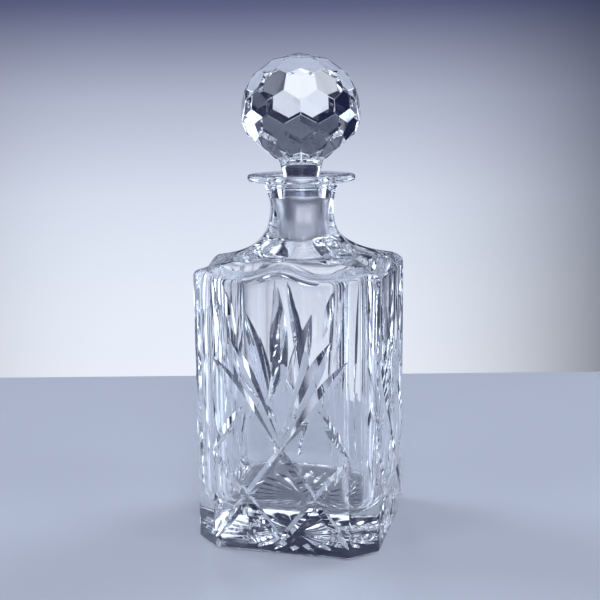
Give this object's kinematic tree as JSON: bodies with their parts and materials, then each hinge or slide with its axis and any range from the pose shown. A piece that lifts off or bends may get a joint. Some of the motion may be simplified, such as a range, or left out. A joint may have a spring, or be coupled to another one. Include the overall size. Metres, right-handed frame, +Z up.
{
  "type": "spirit decanter",
  "caption": "Square cut-glass decanter with bevelled corners, a sloping fluted shoulder, a short neck with a flat lip, and a ground-in faceted ball stopper that lifts out.",
  "frame": {"origin": "centre of the base, on the plane the decanter stands on", "axes": "+Z up along the axis of neck and stopper, with the fully cut faces looking along -Y, +X and -X and the plainer one along +Y"},
  "size_m": [0.093, 0.093, 0.2426],
  "materials": {
    "crystal": "polished cut crystal, with the stopper's plug and the neck's bore ground matt"
  },
  "bodies": {
    "decanter": {"decanter_body": "crystal"},
    "stopper": {"stopper": "crystal"}
  },
  "joints": [
    {"name": "stopper_lift", "type": "slide", "parent": "decanter", "child": "stopper", "axis": [0, 0, 1], "range_m": [0, 0.06]}
  ]
}
